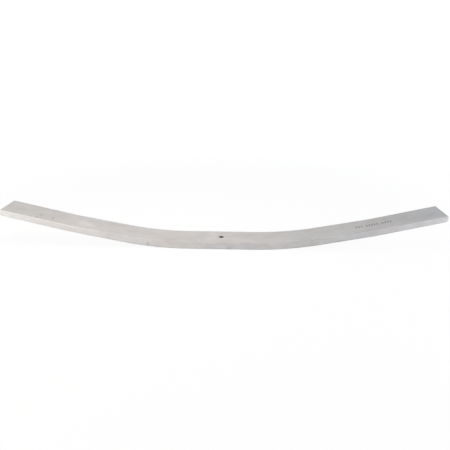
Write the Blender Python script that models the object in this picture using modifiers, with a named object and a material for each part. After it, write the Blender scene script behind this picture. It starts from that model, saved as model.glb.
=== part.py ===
"""Single-leaf spring: one tapered flat of spring steel with a flat seat and two upswept arms.

Units are metres. The origin is on the underside of the seat, below the centre hole, with +X along
the leaf, +Y across it and +Z up.

The leaf bends as one piece. Here it is divided across its width into a seat and five sections an
arm, each hinged to the one before it at mid-thickness, so that the row of sections flexes as the
leaf does. The two arms are the same, half a turn apart, and share their meshes.

Everything is laid out in a side view: x along the leaf, y up from the seat's mid-thickness and
z across the width. The empty side_view turns that upright.
"""

import math

import bmesh
import bpy
from mathutils import Matrix, Vector

# Driving dimensions, in metres and radians
WIDTH = 0.080
SEAT_THICKNESS = 0.020
TIP_THICKNESS = 0.0165
SEAT_HALF = 0.090
BEND_LENGTH = 0.180
BEND_ANGLE = math.radians(11.0)
INNER_STRAIGHT = 0.135
KINK_LENGTH = 0.020
KINK_ANGLE = math.radians(2.4)
OUTER_STRAIGHT = 0.175
HOLE_DIAMETER = 0.012
HOLE_CHAMFER = 0.0008
LONG_EDGE_RADIUS = 0.002
TIP_LOWER_RADIUS = 0.008
TIP_UPPER_RADIUS = 0.0015
SECTION_GAP = 0.001

# How finely the round shapes are divided
DEGREES_PER_FACET = 1.0
EDGE_SEGMENTS = 3
LOWER_ARC_STEPS = 6
UPPER_ARC_STEPS = 2
HOLE_SIDES = 32
SHARP_ANGLE = math.radians(40)

# Points closer together than this are one, and a face whose normal is this near Z is a flat side
WELD_DISTANCE = 0.00001
FLAT_SIDE_NORMAL = 0.99

STRETCHES = (
    (SEAT_HALF, 0.0),
    (BEND_LENGTH, BEND_ANGLE),
    (INNER_STRAIGHT, 0.0),
    (KINK_LENGTH, KINK_ANGLE),
    (OUTER_STRAIGHT, 0.0),
)
HALF_LENGTH = sum(length for length, turn in STRETCHES)
ARM_SECTIONS = ("bend", "inner_arm", "middle_arm", "outer_arm", "tip")
HINGE_SPACING = (HALF_LENGTH - SEAT_HALF) / len(ARM_SECTIONS)
HINGES = [SEAT_HALF + (i + 0.5) * HINGE_SPACING for i in range(len(ARM_SECTIONS))]


def middle_line(along):
    """Place and slope of the leaf's mid-thickness line, at a length along it from the centre."""
    x = y = slope = 0.0
    left = abs(along)
    for length, turn in STRETCHES:
        run = min(left, length)
        if turn:
            radius = length / turn
            after = slope + run / radius
            x += radius * (math.sin(after) - math.sin(slope))
            y += radius * (math.cos(slope) - math.cos(after))
            slope = after
        else:
            x += run * math.cos(slope)
            y += run * math.sin(slope)
        left -= run
        if left <= 0:
            break
    side = math.copysign(1.0, along)
    return Vector((side * x, y)), side * slope


def thickness(along):
    """Full over the seat, then a straight taper to the tip."""
    share = max(0.0, abs(along) - SEAT_HALF) / (HALF_LENGTH - SEAT_HALF)
    return SEAT_THICKNESS + share * (TIP_THICKNESS - SEAT_THICKNESS)


def surface_point(along, side):
    """A point on the top (side 1) or the underside (side -1), square to the middle line."""
    point, slope = middle_line(along)
    normal = Vector((-math.sin(slope), math.cos(slope)))
    return point + normal * (side * thickness(along) / 2)


def corner_lengths():
    """Lengths from the centre where the outline turns: each stretch's ends and steps round a bend."""
    found = []
    start = 0.0
    for length, turn in STRETCHES:
        steps = max(1, math.ceil(math.degrees(turn) / DEGREES_PER_FACET))
        found += [start + length * i / steps for i in range(steps)]
        start += length
    return found[1:]


def stations(start, end):
    """The lengths along the leaf at which a section's outline has points."""
    corners = corner_lengths()
    both = sorted([-corner for corner in corners] + corners)
    return [start] + [c for c in both if start + SECTION_GAP < c < end - SECTION_GAP] + [end]


def rounded_corner(before, corner, after, radius, steps):
    """The arc that replaces a corner of an outline."""
    back = (before - corner).normalized()
    onward = (after - corner).normalized()
    half_angle = back.angle(onward) / 2
    reach = radius / math.tan(half_angle)
    centre = corner + (back + onward).normalized() * (radius / math.sin(half_angle))
    first = corner + back * reach - centre
    last = corner + onward * reach - centre
    sweep = math.atan2(first.x * last.y - first.y * last.x, first.dot(last))
    return [centre + Matrix.Rotation(sweep * i / steps, 2) @ first for i in range(steps + 1)]


def section_outline(start, end):
    """Side view of the leaf between two lengths along it, anticlockwise from the lower left."""
    lengths = stations(start, end)
    under = [surface_point(s, -1) for s in lengths]
    over = [surface_point(s, 1) for s in reversed(lengths)]
    if end == HALF_LENGTH:
        lower = rounded_corner(under[-2], under[-1], over[0], TIP_LOWER_RADIUS, LOWER_ARC_STEPS)
        upper = rounded_corner(under[-1], over[0], over[1], TIP_UPPER_RADIUS, UPPER_ARC_STEPS)
        return under[:-1] + lower + upper + over[1:]
    return under + over


def placed(point, slope):
    """The side-view placement at a point, turned to a slope."""
    return Matrix.Translation(point.to_3d()) @ Matrix.Rotation(slope, 4, "Z")


def section_mesh(name, start, end, origin):
    """The section between two lengths along the leaf, as a closed mesh whose origin is given."""
    curve = bpy.data.curves.new(name, "CURVE")
    curve.dimensions = "2D"
    curve.fill_mode = "BOTH"
    curve.extrude = WIDTH / 2
    outline = [origin.inverted() @ p.to_3d() for p in section_outline(start, end)]
    spline = curve.splines.new("POLY")
    spline.points.add(len(outline) - 1)
    for point, place in zip(spline.points, outline):
        point.co = (place.x, place.y, 0.0, 1.0)
    spline.use_cyclic_u = True
    guide = bpy.data.objects.new(name, curve)
    bpy.context.scene.collection.objects.link(guide)
    evaluated = guide.evaluated_get(bpy.context.evaluated_depsgraph_get())
    mesh = bpy.data.meshes.new_from_object(evaluated)
    bpy.data.objects.remove(guide)
    bpy.data.curves.remove(curve)
    cuts = [s for s in (start, end) if abs(s) < HALF_LENGTH]
    centres = [origin.inverted() @ middle_line(s)[0].to_3d() for s in cuts]
    clean_and_mark(mesh, centres)
    mesh.name = name
    return mesh


def clean_and_mark(mesh, cut_centres):
    """Welds the side faces on, makes each one polygon, and marks its outline for rounding.

    The outline stays sharp where the section is cut from its neighbour.
    """
    bm = bmesh.new()
    bm.from_mesh(mesh)
    bmesh.ops.remove_doubles(bm, verts=bm.verts, dist=WELD_DISTANCE)
    flat_sides = {f for f in bm.faces if abs(f.normal.z) > FLAT_SIDE_NORMAL}
    inner = [e for e in bm.edges if len(e.link_faces) == 2 and flat_sides.issuperset(e.link_faces)]
    bmesh.ops.dissolve_edges(bm, edges=inner, use_verts=False)
    bmesh.ops.recalc_face_normals(bm, faces=bm.faces)
    weights = bm.edges.layers.float.new("bevel_weight_edge")
    for edge in bm.edges:
        across = [f for f in edge.link_faces if abs(f.normal.z) < FLAT_SIDE_NORMAL]
        if len(across) != 1:
            continue
        middle = across[0].calc_center_median()
        at_cut = any((middle - c).length < SECTION_GAP for c in cut_centres)
        edge[weights] = 0.0 if at_cut else 1.0
    bm.to_mesh(mesh)
    bm.free()


def steel_paint():
    """Light grey spring paint, semi-matt."""
    material = bpy.data.materials.new("light_grey_paint")
    material.use_nodes = True
    shader = material.node_tree.nodes["Principled BSDF"]
    shader.inputs["Base Color"].default_value = (0.58, 0.56, 0.54, 1.0)
    shader.inputs["Roughness"].default_value = 0.5
    shader.inputs["Metallic"].default_value = 0.0
    return material


def add_section(name, mesh, parent, placement, collection):
    """A section at its hinge, which follows the section before it."""
    section = bpy.data.objects.new(name, mesh)
    collection.objects.link(section)
    section.parent = parent
    section.matrix_basis = placement
    rounding = section.modifiers.new("long_edges", "BEVEL")
    rounding.limit_method = "WEIGHT"
    rounding.width = LONG_EDGE_RADIUS
    rounding.segments = EDGE_SEGMENTS
    return section


def hole_cutter(collection, parent):
    """A turned plug with a chamfer at each face of the seat, standing up in the side view."""
    radius = HOLE_DIAMETER / 2
    wide = radius + HOLE_CHAMFER
    face = SEAT_THICKNESS / 2
    clear = face + HOLE_CHAMFER
    mouth = wide + HOLE_CHAMFER
    profile = [(0, clear), (mouth, clear), (wide, face), (radius, face - HOLE_CHAMFER)]
    profile += [(r, -height) for r, height in reversed(profile)]
    mesh = bpy.data.meshes.new("hole_cutter")
    points = [(r, height, 0.0) for r, height in profile]
    mesh.from_pydata(points, [(i, i + 1) for i in range(len(points) - 1)], [])
    cutter = bpy.data.objects.new("hole_cutter", mesh)
    collection.objects.link(cutter)
    cutter.parent = parent
    turn = cutter.modifiers.new("turn", "SCREW")
    turn.axis = "Y"
    turn.steps = HOLE_SIDES
    turn.render_steps = HOLE_SIDES
    turn.use_merge_vertices = True
    turn.merge_threshold = WELD_DISTANCE
    cutter.hide_render = True
    cutter.display_type = "WIRE"
    return cutter


def section_span(index):
    """Where an arm's section starts and ends: from its own hinge to the next one, or to the tip."""
    start = HINGES[index] + SECTION_GAP / 2
    last = index + 1 == len(HINGES)
    return start, HALF_LENGTH if last else HINGES[index + 1] - SECTION_GAP / 2


def build_arm(side, turn, seat, meshes, collection):
    """One arm: each section hangs on the one before it, from a hinge at mid-thickness."""
    parent = seat
    before = Matrix.Rotation(turn, 4, "Y").inverted()
    for name, hinge, mesh in zip(ARM_SECTIONS, HINGES, meshes):
        here = placed(*middle_line(hinge))
        parent = add_section(f"{side}_{name}", mesh, parent, before.inverted() @ here, collection)
        before = here


def main():
    for obj in list(bpy.data.objects):
        bpy.data.objects.remove(obj)
    leaf = bpy.data.collections.new("leaf_spring")
    cutters = bpy.data.collections.new("cutters")
    for collection in (leaf, cutters):
        bpy.context.scene.collection.children.link(collection)

    side_view = bpy.data.objects.new("side_view", None)
    leaf.objects.link(side_view)
    side_view.location.z = SEAT_THICKNESS / 2
    side_view.rotation_euler.x = math.radians(90)

    seat_end = HINGES[0] - SECTION_GAP / 2
    seat_mesh = section_mesh("centre_seat", -seat_end, seat_end, Matrix.Identity(4))
    seat = add_section("centre_seat", seat_mesh, side_view, Matrix.Identity(4), leaf)
    hole = seat.modifiers.new("centre_hole", "BOOLEAN")
    hole.operation = "DIFFERENCE"
    hole.object = hole_cutter(cutters, side_view)

    arm_meshes = []
    for index, name in enumerate(ARM_SECTIONS):
        origin = placed(*middle_line(HINGES[index]))
        arm_meshes.append(section_mesh(name, *section_span(index), origin))
    build_arm("right", 0.0, seat, arm_meshes, leaf)
    build_arm("left", math.pi, seat, arm_meshes, leaf)

    paint = steel_paint()
    for mesh in [seat_mesh] + arm_meshes:
        mesh.materials.append(paint)
        mesh.shade_smooth()
        mesh.set_sharp_from_angle(angle=SHARP_ANGLE)


main()
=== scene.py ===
"""The looks of the single-leaf spring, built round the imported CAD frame.

Each stretch of the leaf is made as a straight bar, with its hole, struck strokes and rounded edges,
and is then set to its camber. A point's place on the straight bar is kept as the attribute "flat"
(along, across, up, in metres), and every pattern of the paint reads that, so the paint runs on from
one stretch to the next and stays on the steel when the leaf flexes.
"""

import math

import bmesh
import bpy
import numpy as np
from mathutils import Matrix, Quaternion, Vector


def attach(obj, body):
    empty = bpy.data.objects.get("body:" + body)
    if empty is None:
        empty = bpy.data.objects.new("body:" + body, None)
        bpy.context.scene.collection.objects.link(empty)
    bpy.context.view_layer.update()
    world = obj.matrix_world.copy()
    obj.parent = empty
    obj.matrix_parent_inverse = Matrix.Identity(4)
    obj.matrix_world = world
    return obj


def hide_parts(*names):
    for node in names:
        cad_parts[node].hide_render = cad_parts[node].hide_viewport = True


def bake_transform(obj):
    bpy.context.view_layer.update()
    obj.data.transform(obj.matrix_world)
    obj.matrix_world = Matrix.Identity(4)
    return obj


# The leaf, in metres and radians: the driving dimensions of the CAD part
WIDTH = 0.080
SEAT_THICKNESS = 0.020
TIP_THICKNESS = 0.0165
SEAT_HALF = 0.090
STRETCHES = (
    (SEAT_HALF, 0.0),
    (0.180, math.radians(11.0)),
    (0.135, 0.0),
    (0.020, math.radians(2.4)),
    (0.175, 0.0),
)
HALF_LENGTH = sum(length for length, turn in STRETCHES)
ARM_SECTIONS = ("bend", "inner_arm", "middle_arm", "outer_arm", "tip")
SECTION_LENGTH = (HALF_LENGTH - SEAT_HALF) / len(ARM_SECTIONS)
EDGE_RADIUS = 0.002
TIP_LOWER_RADIUS = 0.008
TIP_UPPER_RADIUS = 0.0015
HOLE_RADIUS = 0.006
HOLE_CHAMFER = 0.0008

# The plain strokes struck in the top of the right arm, where the real leaf carries a code
STROKE_GROUPS = ((0.373, 3), (0.4005, 5), (0.443, 4))
STROKE_PITCH = 0.007
STROKE_ACROSS = -0.0035
STROKE_LENGTH = 0.0140
STROKE_RADIUS = 0.0021
STROKE_DEPTH = 0.0004

# Marks on the straight bar: the place, how far each reaches each way, and how much lighter or darker it
# is.
# The broad changes come first, on the top and then on the near side: they are painted light and painted
# shade, the top darker at its left end, on the left arm and right of the seat, the near side lighter on
# the left and darker at the centre and on the right. The small marks follow in the same order: rubbed
# places, scuffs and smudges, and a ring of painted shade round the bolt hole.
FACE = WIDTH / 2
MARKS_AND_PAINTED_LIGHT = (
    # Painted light and painted shade: broad changes of tone on the top, then on the near side
    ((-0.520, 0.000, 0.008), (0.130, 0.120, 0.012), -0.08),
    ((-0.277, 0.000, 0.009), (0.090, 0.045, 0.012), -0.06),
    ((0.150, -0.002, 0.010), (0.110, 0.045, 0.012), -0.07),
    ((-0.250, -FACE, 0.000), (0.130, 0.020, 0.030), 0.09),
    ((0.005, -FACE, 0.006), (0.045, 0.022, 0.012), -0.08),
    ((0.240, -FACE, 0.000), (0.080, 0.020, 0.030), -0.06),
    ((-0.375, -0.010, 0.008), (0.034, 0.026, 0.010), 0.19),
    ((-0.026, 0.000, 0.010), (0.022, 0.060, 0.012), 0.10),
    # Painted shade: a dark ring round the rim of the bolt hole
    ((0.000, 0.000, 0.010), (0.0125, 0.0125, 0.010), -0.55),
    # Smudges and scuffs
    ((-0.519, -0.034, 0.008), (0.004, 0.006, 0.010), -0.40),
    ((-0.504, -0.033, 0.008), (0.004, 0.006, 0.010), -0.50),
    ((-0.500, -0.014, 0.008), (0.005, 0.010, 0.010), -0.40),
    ((-0.466, -0.017, 0.008), (0.003, 0.014, 0.010), -0.58),
    ((0.455, 0.021, 0.008), (0.010, 0.008, 0.010), -0.32),
    ((0.505, 0.005, 0.008), (0.012, 0.012, 0.010), -0.10),
    ((-0.198, -FACE, -0.003), (0.004, 0.010, 0.012), -0.32),
    ((0.022, -FACE, -0.006), (0.014, 0.010, 0.008), -0.22),
    ((0.321, -FACE, -0.006), (0.026, 0.010, 0.003), -0.24),
)

# Relief of the painted surface: the width and depth of the shot-peened dimples, and other depths
PEENING_WIDTH = 0.0021
PEENING_DEPTH = 0.00018
GRAIN_DEPTH = 0.00004
WAVE_DEPTH = 0.0009
PAINT_DEPTH = 0.00010
SCRATCH_DEPTH = 0.00003

# Colours, as linear red, green, blue and alpha
COOL_PAINT = (0.562, 0.559, 0.561, 1.0)
WARM_PAINT = (0.575, 0.560, 0.550, 1.0)
BARE_STEEL = (0.27, 0.26, 0.25, 1.0)
FRESH_MARKING = (0.105, 0.092, 0.092, 1.0)
WORN_MARKING = (0.26, 0.24, 0.235, 1.0)
# The bolt hole's two steel colours are darker than the steel's own: painted shade inside the hole
OILY_STEEL_AND_HOLE_SHADE = (0.022, 0.019, 0.018, 1.0)
DRILLED_STEEL_AND_HOLE_SHADE = (0.085, 0.076, 0.070, 1.0)

# How finely it is made
RING_SPACING = 0.005
ARC_STEPS = 6
HOLE_SIDES = 96
STROKE_SEGMENTS = 24
STROKE_RINGS = 11
FACE_SHARES = (0.02, 0.053, 0.16, 0.5, 0.84, 0.947, 0.98)
SIDE_SHARES = (0.1, 0.25, 0.5, 0.75, 0.9)
CAP_RIM = 0.0005
CUT_MARGIN = 0.00004
SHARP_ANGLE = math.radians(35)

# The studio, and the camera: how far it is turned round the leaf, tilted down and rolled
FLOOR_HALF = 9.0
FLOOR_GAP = 0.0002
CAMERA_TURN = math.radians(1.707)
CAMERA_TILT = math.radians(21.947)
CAMERA_ROLL = math.radians(0.213)
CAMERA_AIM = Vector((0.0100, 0.0, 0.0556))
CAMERA_DISTANCE = 1.1638
CAMERA_LENS = 33.816
CAMERA_SENSOR = 36.0


# ---------------------------------------------------------------- shape


def middle_line(along):
    """x, z and slope of the mid-thickness line at each length along the leaf."""
    left = np.abs(along)
    x, z, slope = (np.zeros_like(left) for _ in range(3))
    for length, turn in STRETCHES:
        run = np.minimum(left, length)
        after = slope + turn * run / length
        if turn:
            radius = length / turn
            x += radius * (np.sin(after) - np.sin(slope))
            z += radius * (np.cos(slope) - np.cos(after))
        else:
            x += run * np.cos(slope)
            z += run * np.sin(slope)
        slope = after
        left = left - run
    side = np.sign(along)
    return side * x, z + SEAT_THICKNESS / 2, side * slope


def half_thickness(along):
    share = np.maximum(0.0, np.abs(along) - SEAT_HALF) / (HALF_LENGTH - SEAT_HALF)
    return (SEAT_THICKNESS + share * (TIP_THICKNESS - SEAT_THICKNESS)) / 2


def rounding(to_end, radius):
    """How far a face has dropped away at a distance from an end that is rounded to a radius."""
    inside = max(0.0, radius - to_end)
    return radius - math.sqrt(radius * radius - inside * inside)


def ring(along):
    """The bar's cross-section at a length along it: a rounded rectangle, anticlockwise."""
    to_end = HALF_LENGTH - abs(along)
    half = WIDTH / 2 - rounding(to_end, EDGE_RADIUS)
    high = half_thickness(along) - rounding(to_end, TIP_UPPER_RADIUS)
    low = -half_thickness(along) + rounding(to_end, TIP_LOWER_RADIUS)
    inner, upper, lower = half - EDGE_RADIUS, high - EDGE_RADIUS, low + EDGE_RADIUS
    arcs = []
    for quarter, centre in enumerate(((inner, upper), (-inner, upper), (-inner, lower), (inner, lower))):
        turns = [math.pi / 2 * (quarter + i / ARC_STEPS) for i in range(ARC_STEPS + 1)]
        arcs.append([Vector(centre) + EDGE_RADIUS * Vector((math.cos(a), math.sin(a))) for a in turns])
    points = []
    for quarter, arc in enumerate(arcs):
        following = arcs[(quarter + 1) % len(arcs)][0]
        shares = SIDE_SHARES if quarter % 2 else FACE_SHARES
        points += arc + [arc[-1].lerp(following, share) for share in shares]
    return points


def ring_lengths(start, end):
    """Where a stretch has rings: evenly, and closer round the leaf's own ends."""
    steps = round((end - start) / RING_SPACING)
    found = [start + (end - start) * i / steps for i in range(steps + 1)]
    for tip, inwards in ((-HALF_LENGTH, 1), (HALF_LENGTH, -1)):
        if tip in (start, end):
            found = [s for s in found if abs(s - tip) > TIP_LOWER_RADIUS + RING_SPACING / 2]
            for radius in (TIP_LOWER_RADIUS, EDGE_RADIUS):
                turns = [math.pi / 2 * i / ARC_STEPS for i in range(ARC_STEPS + 1)]
                found += [tip + inwards * radius * (1 - math.sin(turn)) for turn in turns]
    return sorted({round(s, 7) for s in found})


def new_object(name, bm):
    mesh = bpy.data.meshes.new(name)
    bm.to_mesh(mesh)
    bm.free()
    made = bpy.data.objects.new(name, mesh)
    bpy.context.scene.collection.objects.link(made)
    return made


def straight_bar(name, start, end):
    """The stretch between two lengths along the leaf, before it is cambered."""
    bm = bmesh.new()
    rings = []
    for along in ring_lengths(start, end):
        rings.append([bm.verts.new((along, p.x, p.y)) for p in ring(along)])
    for one, other in zip(rings, rings[1:]):
        for i in range(len(one)):
            j = (i + 1) % len(one)
            bm.faces.new((one[i], other[i], other[j], one[j]))
    caps = [bm.faces.new(rings[0]), bm.faces.new(rings[-1])]
    bmesh.ops.recalc_face_normals(bm, faces=bm.faces)
    bmesh.ops.inset_individual(bm, faces=caps, thickness=CAP_RIM)
    bmesh.ops.triangulate(bm, faces=caps, ngon_method="BEAUTY")
    return new_object(name, bm)


def hole_cutter():
    """The turned shape that cuts the bolt hole and its two chamfers. It starts half a step round, which
    keeps its corners off the lines of the bar's own mesh."""
    face = SEAT_THICKNESS / 2
    beyond = HOLE_CHAMFER
    profile = [
        (HOLE_RADIUS + HOLE_CHAMFER + beyond, face + beyond),
        (HOLE_RADIUS, face - HOLE_CHAMFER),
        (HOLE_RADIUS, 0.0),
        (HOLE_RADIUS, -face + HOLE_CHAMFER),
        (HOLE_RADIUS + HOLE_CHAMFER + beyond, -face - beyond),
    ]
    bm = bmesh.new()
    circles = []
    for radius, up in profile:
        turns = [2 * math.pi * (i + 0.5) / HOLE_SIDES for i in range(HOLE_SIDES)]
        circles.append([bm.verts.new((radius * math.cos(a), radius * math.sin(a), up)) for a in turns])
    for upper, lower in zip(circles, circles[1:]):
        for i in range(HOLE_SIDES):
            j = (i + 1) % HOLE_SIDES
            bm.faces.new((upper[i], lower[i], lower[j], upper[j]))
    bm.faces.new(circles[0])
    bm.faces.new(reversed(circles[-1]))
    bmesh.ops.recalc_face_normals(bm, faces=bm.faces)
    return new_object("hole_cutter", bm)


def stroke_places():
    """How far along the leaf each struck stroke lies."""
    return [first + i * STROKE_PITCH for first, count in STROKE_GROUPS for i in range(count)]


def stroke_cutter(places):
    """Long round-ended cutters, which lie across the leaf and dip into its top face."""
    bm = bmesh.new()
    for along in places:
        made = bmesh.ops.create_uvsphere(
            bm, u_segments=STROKE_SEGMENTS, v_segments=STROKE_RINGS, radius=STROKE_RADIUS
        )["verts"]
        stretch = STROKE_LENGTH / 2 - STROKE_RADIUS
        for vert in made:
            vert.co.z += math.copysign(stretch, vert.co.z)
        centre = Vector((along, STROKE_ACROSS, half_thickness(along) + STROKE_RADIUS - STROKE_DEPTH))
        lay = Matrix.Translation(centre) @ Matrix.Rotation(math.pi / 2, 4, "X")
        bmesh.ops.transform(bm, matrix=lay, verts=made)
    return new_object("stroke_cutter", bm)


def cut(bar, cutter):
    """Cuts one object's shape from another, and removes the cutter."""
    boolean = bar.modifiers.new("cut", "BOOLEAN")
    boolean.object = cutter
    boolean.solver = "EXACT"
    evaluated = bar.evaluated_get(bpy.context.evaluated_depsgraph_get())
    mesh = bpy.data.meshes.new_from_object(evaluated)
    bar.modifiers.clear()
    bar.data = mesh
    mesh.name = bar.name
    bpy.data.objects.remove(cutter)


def camber(bar):
    """Keeps each point's place on the straight bar and its distance from the nearest edge of the leaf,
    then sets the bar to the leaf's shape."""
    mesh = bar.data
    flat = np.zeros(len(mesh.vertices) * 3)
    mesh.vertices.foreach_get("co", flat)
    along, across, up = flat.reshape(-1, 3).T
    mesh.attributes.new("flat", "FLOAT_VECTOR", "POINT").data.foreach_set("vector", flat)
    gaps = [HALF_LENGTH - np.abs(along), WIDTH / 2 - np.abs(across), half_thickness(along) - np.abs(up)]
    edge = np.sqrt(np.sum(np.sort(gaps, axis=0)[:2] ** 2, axis=0))
    mesh.attributes.new("edge", "FLOAT", "POINT").data.foreach_set("value", edge)
    x, z, slope = middle_line(along)
    placed = np.stack([x - up * np.sin(slope), across, z + up * np.cos(slope)], axis=1)
    mesh.vertices.foreach_set("co", placed.ravel())
    mesh.update()


# ---------------------------------------------------------------- materials


class Surface:
    """One material, with short ways to add nodes to it."""

    def __init__(self, name):
        self.material = bpy.data.materials.new(name)
        self.material.use_nodes = True
        self.tree = self.material.node_tree
        self.shader = self.tree.nodes["Principled BSDF"]
        self.flat = self.attribute("flat").outputs["Vector"]

    def node(self, kind, **settings):
        made = self.tree.nodes.new(kind)
        for name, value in settings.items():
            setattr(made, name, value)
        return made

    def attribute(self, name):
        return self.node("ShaderNodeAttribute", attribute_name=name)

    def along(self):
        """How far along the leaf a place is from the centre."""
        apart = self.node("ShaderNodeSeparateXYZ")
        self.put(apart.inputs[0], self.flat)
        return apart.outputs["X"]

    def put(self, socket, value):
        """Sets a socket, or links it when the value is another node's output."""
        if isinstance(value, bpy.types.NodeSocket):
            self.tree.links.new(value, socket)
        else:
            socket.default_value = value

    def math(self, operation, a, b=0.0):
        made = self.node("ShaderNodeMath", operation=operation)
        self.put(made.inputs[0], a)
        self.put(made.inputs[1], b)
        return made.outputs[0]

    def combine(self, operation, values):
        """One operation over several values, from the first to the last."""
        result = values[0]
        for value in values[1:]:
            result = self.math(operation, result, value)
        return result

    def total(self, *values):
        return self.combine("ADD", values)

    def product(self, *values):
        return self.combine("MULTIPLY", values)

    def highest(self, *values):
        return self.combine("MAXIMUM", values)

    def step(self, value, low, high, to_low=0.0, to_high=1.0):
        """Goes smoothly from one number to another as the value goes from low to high."""
        made = self.node("ShaderNodeMapRange", interpolation_type="SMOOTHSTEP")
        for socket, number in zip(made.inputs, (value, low, high, to_low, to_high)):
            self.put(socket, number)
        return made.outputs[0]

    def scaled(self, size, shift=(0.0, 0.0, 0.0), turn=0.0):
        """The place on the leaf, turned about its thickness, in lengths of the given size (metres)."""
        moved = self.node("ShaderNodeVectorMath", operation="SUBTRACT")
        self.put(moved.inputs[0], self.flat)
        self.put(moved.inputs[1], shift)
        place = moved.outputs[0]
        if turn:
            turned = self.node("ShaderNodeVectorRotate", rotation_type="Z_AXIS")
            self.put(turned.inputs["Vector"], place)
            self.put(turned.inputs["Angle"], turn)
            place = turned.outputs[0]
        divided = self.node("ShaderNodeVectorMath", operation="DIVIDE")
        self.put(divided.inputs[0], place)
        self.put(divided.inputs[1], size)
        return divided.outputs[0]

    def noise(self, size, detail=2.0, roughness=0.5, **placing):
        """Noise from 0 to 1 with features of the given size along, across and up."""
        made = self.node("ShaderNodeTexNoise")
        self.put(made.inputs["Vector"], self.scaled(size, **placing))
        self.put(made.inputs["Scale"], 1.0)
        self.put(made.inputs["Detail"], detail)
        self.put(made.inputs["Roughness"], roughness)
        return made.outputs["Fac"]

    def spots(self, spacing, radius, share, ragged, **placing):
        """1 inside round spots of the given radius, in a share of the cells that lie a spacing apart."""
        made = self.node("ShaderNodeTexVoronoi")
        self.put(made.inputs["Vector"], self.scaled((spacing, spacing, spacing), **placing))
        self.put(made.inputs["Scale"], 1.0)
        reach = radius / spacing
        distance = self.total(made.outputs["Distance"], self.around(ragged, 1.4 * reach))
        inside = self.step(distance, 0.6 * reach, 1.1 * reach, 1.0, 0.0)
        chosen = self.node("ShaderNodeSeparateColor")
        self.put(chosen.inputs[0], made.outputs["Color"])
        return self.product(inside, self.math("LESS_THAN", chosen.outputs[0], share))

    def around(self, noise, amount):
        """Noise from 0 to 1 turned into a change either side of 0."""
        return self.product(self.math("SUBTRACT", noise, 0.5), amount)

    def patch(self, centre, size):
        """1 at a place on the leaf, falling smoothly to 0 at the given distances from it."""
        length = self.node("ShaderNodeVectorMath", operation="LENGTH")
        self.put(length.inputs[0], self.scaled(size, centre))
        return self.step(length.outputs["Value"], 0.0, 1.0, 1.0, 0.0)

    def mix(self, share, a, b):
        made = self.node("ShaderNodeMix", data_type="RGBA")
        self.put(made.inputs["Factor"], share)
        self.put(made.inputs["A"], a)
        self.put(made.inputs["B"], b)
        return made.outputs["Result"]

    def shade(self, colour, factor):
        """A colour made lighter or darker by a factor."""
        made = self.node("ShaderNodeVectorMath", operation="SCALE")
        self.put(made.inputs[0], colour)
        self.put(made.inputs["Scale"], factor)
        return made.outputs[0]

    def bump(self, height, depth=1.0):
        """Relief from a height, whose unit is the given depth in metres."""
        made = self.node("ShaderNodeBump")
        self.put(made.inputs["Height"], height)
        self.put(made.inputs["Distance"], depth)
        return made.outputs["Normal"]

    def finish(self, colour, roughness, normal):
        """Sets what every material of the leaf has a pattern for, and returns the material."""
        self.put(self.shader.inputs["Base Color"], colour)
        self.put(self.shader.inputs["Roughness"], roughness)
        self.put(self.shader.inputs["Normal"], normal)
        return self.material


def scratches_in(s, blotches):
    """Fine scratches, along the leaf and at a slant, in the places that have been rubbed."""
    drawn = s.noise((0.070, 0.0007, 0.0007), 1.0, turn=math.radians(3))
    dragged = s.noise((0.030, 0.0006, 0.0006), 1.0, turn=math.radians(38))
    lines = s.highest(s.step(drawn, 0.68, 0.76), s.step(dragged, 0.72, 0.79))
    return s.product(lines, s.step(blotches, 0.46, 0.62))


def bare_steel_in(s, edge):
    """How far the paint is gone: in small specks, and in short breaks along the very edges."""
    ragged = s.noise((0.0020, 0.0020, 0.0020), 3.0, 0.6)
    specks = s.highest(
        s.spots(0.021, 0.0007, 0.35, ragged),
        s.spots(0.060, 0.0014, 0.35, ragged, shift=(0.011, 0.007, 0.003)),
    )
    breaks = s.noise((0.007, 0.007, 0.007), 5.0, 0.7)
    worn = s.product(s.step(edge, 0.0007, 0.0013, 1.0, 0.0), s.step(breaks, 0.61, 0.67))
    return s.product(s.highest(worn, specks), 0.75)


def peening_in(s):
    """The round dimples that shot-peening leaves: 0 at their centres, rising to their rims."""
    dimples = s.node("ShaderNodeTexVoronoi", feature="SMOOTH_F1")
    s.put(dimples.inputs["Vector"], s.scaled((PEENING_WIDTH, PEENING_WIDTH, PEENING_WIDTH)))
    s.put(dimples.inputs["Scale"], 1.0)
    s.put(dimples.inputs["Smoothness"], 0.6)
    return dimples.outputs["Distance"]


def marks_and_painted_light_in(s, tone):
    """The tone with the marks added, each broken up by its own noise: scuffs and smudges, and broad
    painted light and painted shade.
    """
    for centre, size, change in MARKS_AND_PAINTED_LIGHT:
        broken = s.step(s.noise((0.005, 0.005, 0.005), 3.0, shift=centre), 0.36, 0.60, 0.45, 1.0)
        tone = s.total(tone, s.product(s.patch(centre, size), broken, change))
    return tone


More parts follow.
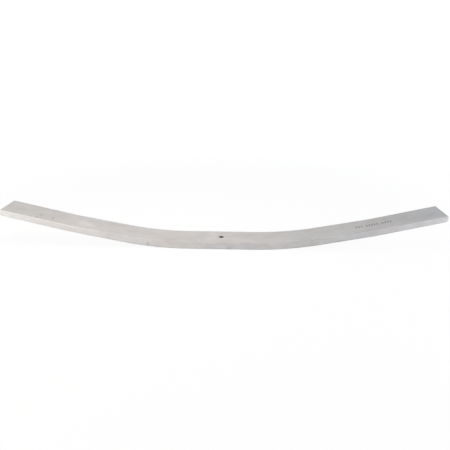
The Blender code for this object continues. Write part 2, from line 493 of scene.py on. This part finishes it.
def paint_material():
    """Light grey paint over shot-peened steel, handled, scuffed, and worn through on its edges, with
    painted light and painted shade on its rounded edges, in broad patches and round the bolt hole.
    """
    s = Surface("light_grey_paint")
    edge = s.attribute("edge").outputs["Fac"]
    clouds = s.noise((0.110, 0.040, 0.040), 3.0)
    blotches = s.noise((0.026, 0.015, 0.015), 4.0, shift=(0.3, 0.0, 0.0))
    streaks = s.noise((0.160, 0.0060, 0.0060), 2.0)
    grain = s.noise((0.0013, 0.0013, 0.0013), 3.0, 0.6)
    scratches = scratches_in(s, blotches)
    bare = bare_steel_in(s, edge)

    # Painted highlight on the rounded edges at the left end, and painted shade along the rest
    on_edge = s.step(edge, 0.0006, 0.0026, 1.0, 0.0)
    painted_edge_highlight_and_shade = s.step(s.along(), -0.42, -0.22, 0.05, -0.15)
    tone = s.total(
        1.0,
        s.around(clouds, 0.24),
        s.around(blotches, 0.24),
        s.around(streaks, 0.11),
        s.around(grain, 0.10),
        s.product(scratches, 0.10),
        s.product(on_edge, painted_edge_highlight_and_shade),
    )
    warmth = s.step(s.noise((0.090, 0.030, 0.030), 2.0, shift=(1.7, 0.0, 0.0)), 0.35, 0.65)
    # The marks add painted light and painted shade to the paint's colour, with its scuffs and smudges
    paint = s.shade(s.mix(warmth, COOL_PAINT, WARM_PAINT), marks_and_painted_light_in(s, tone))
    roughness = s.total(0.50, s.around(blotches, 0.25), s.around(grain, 0.15), s.product(bare, -0.12))
    height = s.total(
        s.product(peening_in(s), PEENING_DEPTH),
        s.product(grain, GRAIN_DEPTH),
        s.product(clouds, WAVE_DEPTH),
        s.product(bare, -PAINT_DEPTH),
        s.product(scratches, -SCRATCH_DEPTH),
    )
    s.put(s.shader.inputs["Metallic"], s.product(bare, 0.7))
    return s.finish(s.mix(bare, paint, BARE_STEEL), roughness, s.bump(height))


def marking_material():
    """Dark marking paint left in the struck strokes."""
    s = Surface("marking_paint")
    worn = s.noise((0.0012, 0.0020, 0.0020), 3.0)
    colour = s.mix(s.step(worn, 0.40, 0.72), FRESH_MARKING, WORN_MARKING)
    roughness = s.total(0.65, s.around(worn, 0.2))
    return s.finish(colour, roughness, s.bump(s.noise((0.0006, 0.0006, 0.0006), 2.0), 0.00005))


def hole_material():
    """Drilled steel, dark with scale and old oil and darkened further as painted shade inside the hole,
    with the drill's fine rings.
    """
    s = Surface("drilled_steel_and_hole_shade")
    rings = s.noise((0.004, 0.004, 0.00025), 2.0)
    grime = s.noise((0.003, 0.003, 0.004), 3.0)
    colour = s.mix(s.step(grime, 0.35, 0.70), OILY_STEEL_AND_HOLE_SHADE, DRILLED_STEEL_AND_HOLE_SHADE)
    s.put(s.shader.inputs["Metallic"], 0.6)
    return s.finish(colour, s.total(0.5, s.around(grime, 0.3)), s.bump(rings, 0.00006))


# ---------------------------------------------------------------- the leaf


def paint_leaf(bar, materials):
    """Gives the bar its paint, and the cut surfaces the materials that show there."""
    mesh = bar.data
    mesh.materials.clear()
    for material in materials:
        mesh.materials.append(material)
    for face in mesh.polygons:
        face.material_index = 0
        along, across, up = face.center
        if math.hypot(along, across) < HOLE_RADIUS + CUT_MARGIN and abs(face.normal.z) < 0.1:
            face.material_index = 1
        in_stroke = min(abs(along - place) for place in stroke_places()) < STROKE_RADIUS
        in_row = abs(across - STROKE_ACROSS) < STROKE_LENGTH / 2
        if in_stroke and in_row and 0 < up < half_thickness(along) - CUT_MARGIN:
            face.material_index = 2


def shade(mesh):
    """Smooth shading, with sharp edges at corners and round whatever is cut into a face."""
    mesh.shade_smooth()
    mesh.set_sharp_from_angle(angle=SHARP_ANGLE)
    bm = bmesh.new()
    bm.from_mesh(mesh)
    for edge in bm.edges:
        if len({face.material_index for face in edge.link_faces}) > 1:
            edge.smooth = False
    bm.to_mesh(mesh)
    bm.free()


def make_leaf():
    """All the stretches of the leaf: the seat follows its own body, and each stretch of the arms is set
    fixed in place.
    """
    materials = [paint_material(), hole_material(), marking_material()]
    arms = (("left", -1), ("right", 1))
    plans = [("leaf_seat", -SEAT_HALF, SEAT_HALF, "centre_seat", "centre_seat")]
    for side, sign in arms:
        parent = "centre_seat"
        for i, section in enumerate(ARM_SECTIONS):
            near = SEAT_HALF + i * SECTION_LENGTH
            far = HALF_LENGTH if section == ARM_SECTIONS[-1] else near + SECTION_LENGTH
            child = f"{side}_{section}"
            plans.append((f"leaf_{side}_{section}", sign * near, sign * far, parent, child))
            parent = child
    for name, near, far, parent, child in plans:
        start, end = sorted((near, far))
        bar = straight_bar(name, start, end)
        if start < 0 < end:
            cut(bar, hole_cutter())
        strokes = [along for along in stroke_places() if start < along < end]
        if strokes:
            cut(bar, stroke_cutter(strokes))
        paint_leaf(bar, materials)
        camber(bar)
        shade(bar.data)
        if parent == child:
            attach(bar, child)
        else:
            x, z, slope = middle_line(np.array([near, far]))
            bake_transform(bar)
        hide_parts(child)


# ---------------------------------------------------------------- studio


def make_floor():
    """A plain white floor. It glows a little for the camera, which keeps it white into the distance and
    leaves only a trace of the leaf's shadow."""
    bm = bmesh.new()
    bmesh.ops.create_grid(bm, x_segments=1, y_segments=1, size=FLOOR_HALF)
    floor = new_object("floor", bm)
    floor.location.z = -FLOOR_GAP
    pale = Surface("pale_floor")
    seen = pale.node("ShaderNodeLightPath").outputs["Is Camera Ray"]
    away = pale.node("ShaderNodeVectorMath", operation="LENGTH")
    pale.put(away.inputs[0], pale.node("ShaderNodeTexCoord").outputs["Object"])
    glow = pale.step(away.outputs["Value"], 0.6, 1.8, 0.94, 1.0)
    colour = pale.mix(seen, (0.5, 0.5, 0.5, 1.0), (0.06, 0.06, 0.06, 1.0))
    pale.put(pale.shader.inputs["Base Color"], colour)
    pale.put(pale.shader.inputs["Roughness"], 1.0)
    pale.put(pale.shader.inputs["Specular IOR Level"], 0.0)
    pale.put(pale.shader.inputs["Emission Color"], (1.0, 1.0, 1.0, 1.0))
    pale.put(pale.shader.inputs["Emission Strength"], pale.product(seen, glow))
    floor.data.materials.append(pale.material)


def soft_light(name, place, aim, size, power, colour):
    data = bpy.data.lights.new(name, "AREA")
    data.shape = "RECTANGLE"
    data.size, data.size_y = size
    data.energy = power
    data.color = colour
    light = bpy.data.objects.new(name, data)
    bpy.context.scene.collection.objects.link(light)
    light.location = place
    light.rotation_euler = (Vector(aim) - Vector(place)).to_track_quat("-Z", "Y").to_euler()


def make_lights():
    """Softboxes level with the leaf's ends, a small one over its left half, and weak ones behind."""
    soft_light("left_box", (-1.4, -0.9, 0.3), (-0.4, 0.0, 0.05), (0.8, 0.5), 19.6, (1.0, 0.97, 0.92))
    soft_light("left_top", (-0.3, -0.1, 0.9), (-0.25, 0.0, 0.03), (0.5, 0.5), 5.4, (1.0, 0.88, 0.77))
    soft_light("right_box", (1.6, -0.6, 0.5), (0.4, 0.0, 0.05), (0.8, 0.8), 21.5, (0.96, 0.96, 1.0))
    soft_light("left_back", (-1.2, 1.3, 1.2), (-0.2, 0.0, 0.05), (1.0, 1.0), 2.4, (0.93, 1.0, 0.94))
    soft_light("right_back", (1.2, 1.3, 1.2), (0.2, 0.0, 0.05), (1.0, 1.0), 4.1, (0.64, 0.76, 1.0))
    soft_light("far_side", (0.0, 2.2, 0.35), (0.0, 0.0, 0.04), (2.0, 0.5), 7.0, (1.0, 0.95, 0.9))


def make_world():
    """A white studio: soft light from all round, and pure white where the camera sees past the floor."""
    world = bpy.data.worlds.new("studio")
    bpy.context.scene.world = world
    world.use_nodes = True
    nodes, links = world.node_tree.nodes, world.node_tree.links
    background = nodes["Background"]
    background.inputs["Color"].default_value = (0.75, 0.88, 1.0, 1.0)
    background.inputs["Strength"].default_value = 0.195
    seen = nodes.new("ShaderNodeBackground")
    seen.inputs["Color"].default_value = (1.0, 1.0, 1.0, 1.0)
    seen.inputs["Strength"].default_value = 1.05
    path = nodes.new("ShaderNodeLightPath")
    choose = nodes.new("ShaderNodeMixShader")
    links.new(path.outputs["Is Camera Ray"], choose.inputs[0])
    links.new(background.outputs[0], choose.inputs[1])
    links.new(seen.outputs[0], choose.inputs[2])
    links.new(choose.outputs[0], nodes["World Output"].inputs["Surface"])


def make_camera():
    scene = bpy.context.scene
    camera = bpy.data.objects.new("camera", bpy.data.cameras.new("camera"))
    scene.collection.objects.link(camera)
    scene.camera = camera
    level = math.cos(CAMERA_TILT)
    back = Vector((math.sin(CAMERA_TURN) * level, -math.cos(CAMERA_TURN) * level, math.sin(CAMERA_TILT)))
    camera.location = CAMERA_AIM + CAMERA_DISTANCE * back
    camera.rotation_mode = "QUATERNION"
    camera.rotation_quaternion = (-back).to_track_quat("-Z", "Y") @ Quaternion((0, 0, 1), CAMERA_ROLL)
    camera.data.sensor_width = CAMERA_SENSOR
    camera.data.lens = CAMERA_LENS


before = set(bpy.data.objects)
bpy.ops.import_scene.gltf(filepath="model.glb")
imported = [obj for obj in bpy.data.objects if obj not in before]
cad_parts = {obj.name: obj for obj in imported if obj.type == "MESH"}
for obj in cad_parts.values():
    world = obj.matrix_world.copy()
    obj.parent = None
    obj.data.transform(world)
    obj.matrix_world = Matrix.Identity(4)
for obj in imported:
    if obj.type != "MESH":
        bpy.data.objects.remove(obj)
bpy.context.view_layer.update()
make_leaf()
make_floor()
make_lights()
make_world()
make_camera()
bpy.context.scene.view_settings.view_transform = "Standard"
